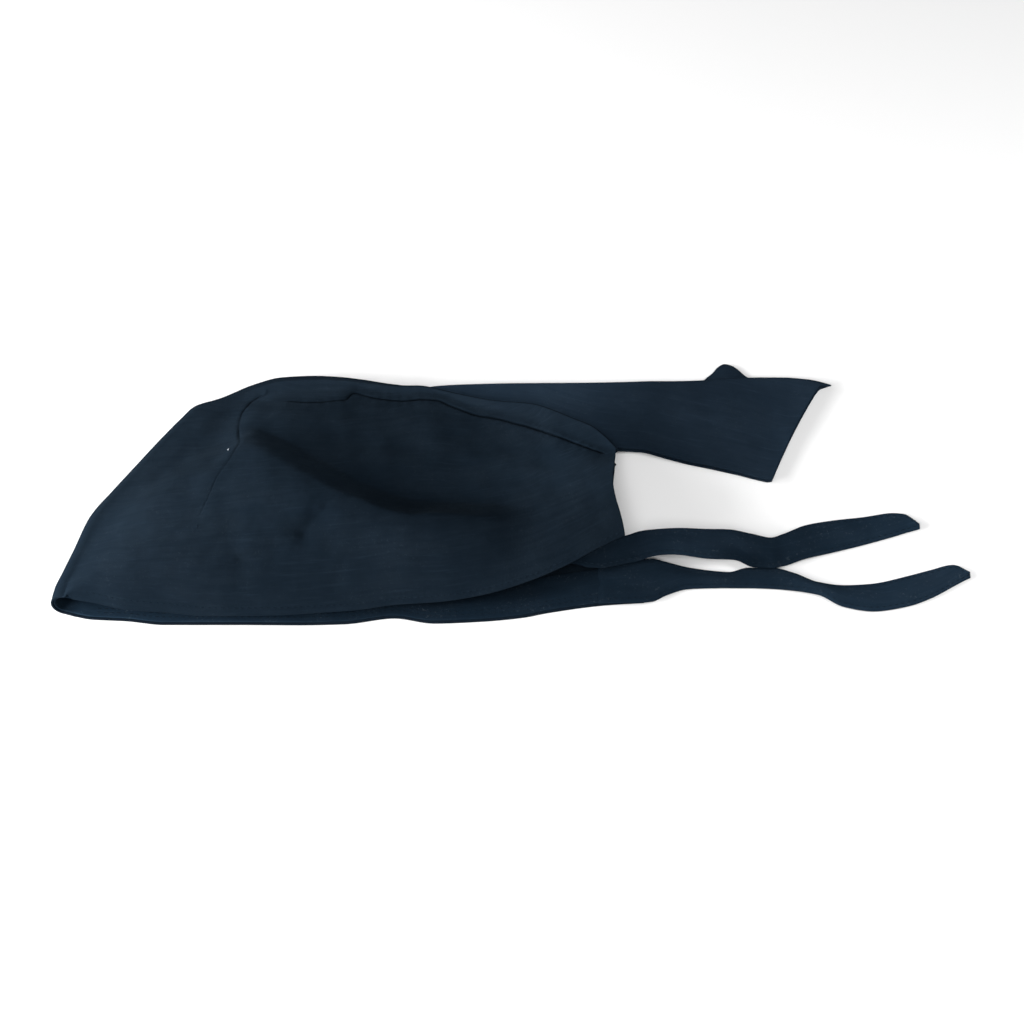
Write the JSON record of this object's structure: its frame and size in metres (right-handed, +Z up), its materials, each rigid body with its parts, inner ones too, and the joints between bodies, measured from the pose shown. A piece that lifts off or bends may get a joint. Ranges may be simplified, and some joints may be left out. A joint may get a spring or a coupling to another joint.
{
  "type": "patka",
  "caption": "Stitched patka lying on its side: soft dark cotton cap with an open hem, a wide folded tail flap and two flat ties.",
  "frame": {"origin": "on the surface that the cap lies on, under the middle of its whole outline", "axes": "+X from the brow to the ends of the ties, +Y from the hem to the crown, +Z up from the surface"},
  "size_m": [0.4254, 0.1629, 0.0312],
  "materials": {
    "cap_cotton": "thin matte plain-weave cotton, dark navy, softly creased, with stitched darts and seams",
    "band_cotton": "matte cotton band inside the hem, dark navy, with a little lint",
    "tie_cotton": "matte flat cotton ties, dark navy, cut ends slightly frayed"
  },
  "bodies": {
    "root": {"cap_cloth": "cap_cotton", "tail": "cap_cotton", "hem_band": "band_cotton", "left_tie": "tie_cotton", "right_tie": "tie_cotton"}
  },
  "joints": []
}
